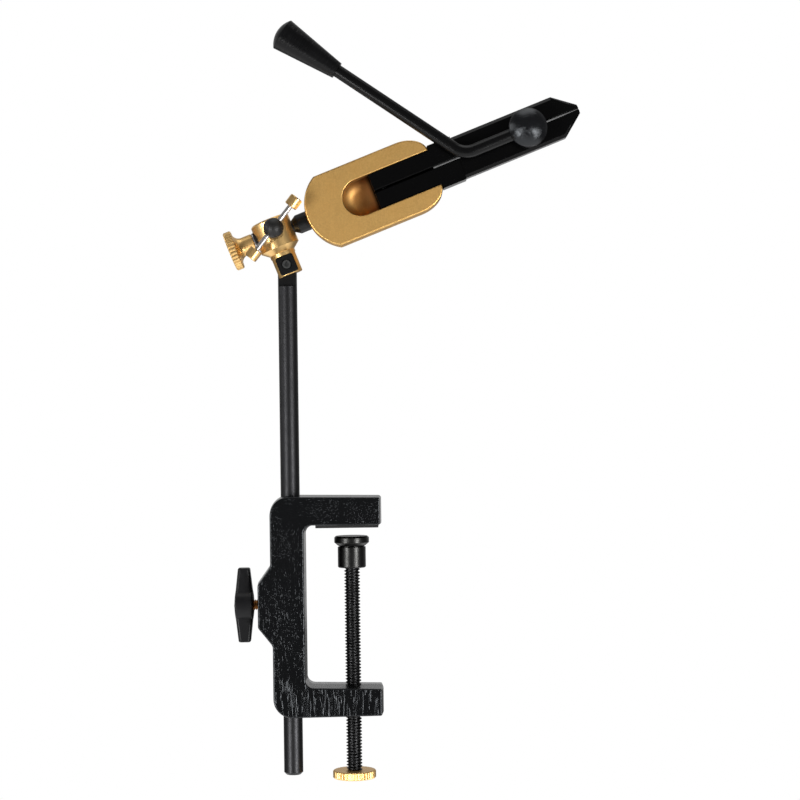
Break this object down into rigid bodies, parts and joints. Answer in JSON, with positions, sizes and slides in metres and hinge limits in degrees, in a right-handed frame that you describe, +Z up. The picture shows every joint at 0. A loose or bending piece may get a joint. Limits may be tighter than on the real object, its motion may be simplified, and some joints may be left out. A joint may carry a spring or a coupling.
{
  "type": "fly tying vise",
  "caption": "Rotary fly tying vise: C-clamp with a vertical post, tilting brass knuckle, forked brass head and split black jaws opened by a bent cam lever.",
  "frame": {"origin": "middle of the upper pad's underside, the face that lies on the table top", "axes": "+Z up along the post, +X from the post towards the jaw tip, -Y towards the tyer's side with the lever rod and lock screw"},
  "size_m": [0.179, 0.0329, 0.3766],
  "materials": {
    "clamp_paint": "black wrinkle paint over a casting",
    "pad_rubber": "black rubber strip",
    "dark_steel": "blackened steel, satin",
    "bright_steel": "bright steel",
    "post_steel": "satin dark grey steel, ground along its length",
    "gunmetal": "dark gunmetal plate, turned",
    "brass": "satin brushed brass",
    "jaw_black": "gloss black hardened steel",
    "lever_black": "satin black steel",
    "knob_black": "satin grey-black moulded knob",
    "grip_black": "satin black plastic grip",
    "washer_fibre": "black fibre",
    "nylon": "white nylon"
  },
  "bodies": {
    "clamp": {"clamp_frame": "clamp_paint", "upper_pad": "pad_rubber"},
    "swivel_pad": {"pad_disc": "gunmetal", "pad_cup": "gunmetal"},
    "screw": {"clamp_screw": "dark_steel", "thumb_wheel": "brass"},
    "post_brake": {"lock_tip": "brass"},
    "wing_knob": {"lock_stud": "brass", "lock_knob": "knob_black"},
    "post": {"post": "post_steel"},
    "tang": {"post_tang": "dark_steel"},
    "knuckle": {"knuckle": "brass", "pivot_screw": "bright_steel", "pivot_nut": "dark_steel", "friction_washer": "washer_fibre"},
    "spindle_brake": {"lock_plug": "nylon"},
    "lock_screw": {"spindle_lock_screw": "dark_steel"},
    "tommy": {"tommy_bar": "bright_steel", "tommy_cap_front": "brass", "tommy_cap_rear": "brass"},
    "jaw_head": {"spindle": "dark_steel", "jaw_holder": "brass", "jaw_pin_upper": "bright_steel", "jaw_pin_lower": "bright_steel", "jaw_spring": "bright_steel"},
    "tension_ring": {"thrust_ring": "bright_steel"},
    "rear_knob": {"tension_knob": "brass"},
    "upper_jaw": {"jaw_upper": "jaw_black"},
    "lower_jaw": {"jaw_lower": "jaw_black"},
    "lever": {"cam_shaft": "dark_steel", "cam_dome": "lever_black", "cam_washer": "bright_steel", "cam_screw": "dark_steel", "lever_rod": "lever_black", "lever_grip": "grip_black"}
  },
  "joints": [
    {"name": "clamp_slide", "type": "slide", "parent": "clamp", "child": "swivel_pad", "axis": [0, 0, 1], "range_m": [-0.0565, 0.0042]},
    {"name": "clamp_screw_turn", "type": "hinge", "parent": "swivel_pad", "child": "screw", "pos_m": [0.0021, 0, -0.07], "axis": [0, 0, 1], "range_deg": [-12817, 956]},
    {"name": "post_brake_slide", "type": "slide", "parent": "clamp", "child": "post_brake", "axis": [1, 0, 0], "range_m": [-0.004, 0]},
    {"name": "post_lock_turn", "type": "hinge", "parent": "post_brake", "child": "wing_knob", "pos_m": [-0.0483, 0, -0.0384], "axis": [1, 0, 0], "range_deg": [-1444, 4]},
    {"name": "post_slide", "type": "slide", "parent": "clamp", "child": "post", "axis": [0, 0, 1], "range_m": [-0.08, 0.07]},
    {"name": "head_swivel", "type": "hinge", "parent": "post", "child": "tang", "pos_m": [-0.0283, 0, 0.1204], "axis": [0, 0, 1], "continuous": true},
    {"name": "head_tilt", "type": "hinge", "parent": "tang", "child": "knuckle", "pos_m": [-0.0283, 0, 0.1312], "axis": [0, -1, 0], "range_deg": [-45, 65]},
    {"name": "spindle_brake_slide", "type": "slide", "parent": "knuckle", "child": "spindle_brake", "axis": [0, 1, 0], "range_m": [-0.0008, 0]},
    {"name": "spindle_lock_turn", "type": "hinge", "parent": "spindle_brake", "child": "lock_screw", "pos_m": [-0.03408, -0.012, 0.14859], "axis": [0, 1, 0], "range_deg": [-364, 4]},
    {"name": "tommy_slide", "type": "slide", "parent": "lock_screw", "child": "tommy", "axis": [0.6225, 0, 0.7826], "range_m": [-0.0083, 0.0083]},
    {"name": "spindle_turn", "type": "hinge", "parent": "knuckle", "child": "jaw_head", "pos_m": [-0.03442, 0, 0.14674], "axis": [0.9304, 0, 0.3665], "continuous": true},
    {"name": "tension_ring_slide", "type": "slide", "parent": "jaw_head", "child": "tension_ring", "axis": [0.9304, 0, 0.3665], "range_m": [-0.0012, 0]},
    {"name": "tension_knob_turn", "type": "hinge", "parent": "tension_ring", "child": "rear_knob", "pos_m": [-0.04838, 0, 0.14124], "axis": [0.9304, 0, 0.3665], "range_deg": [-544, 4]},
    {"name": "lever_turn", "type": "hinge", "parent": "jaw_head", "child": "lever", "pos_m": [0.09207, 0, 0.19656], "axis": [0, -1, 0], "range_deg": [0, 20], "stiffness_Nm_per_rad": 2, "springref_deg": -3.44},
    {"name": "jaw_upper_turn", "type": "hinge", "parent": "jaw_head", "child": "upper_jaw", "pos_m": [0.02911, 0, 0.1766], "axis": [0, -1, 0], "range_deg": [0, 0.81]},
    {"name": "jaw_lower_turn", "type": "hinge", "parent": "jaw_head", "child": "lower_jaw", "pos_m": [0.0324, 0, 0.16822], "axis": [0, -1, 0], "range_deg": [-0.81, 0]}
  ],
  "couplings": [
    {"joint": "clamp_screw_turn", "follows": "clamp_slide", "rad_per_m": 3957.9},
    {"joint": "post_lock_turn", "follows": "post_brake_slide", "rad_per_m": 6283.2},
    {"joint": "spindle_lock_turn", "follows": "spindle_brake_slide", "rad_per_m": 7854},
    {"joint": "tension_knob_turn", "follows": "tension_ring_slide", "rad_per_m": 7854},
    {"joint": "jaw_upper_turn", "follows": "lever_turn", "ratio": 0.04},
    {"joint": "jaw_lower_turn", "follows": "lever_turn", "ratio": -0.04}
  ]
}
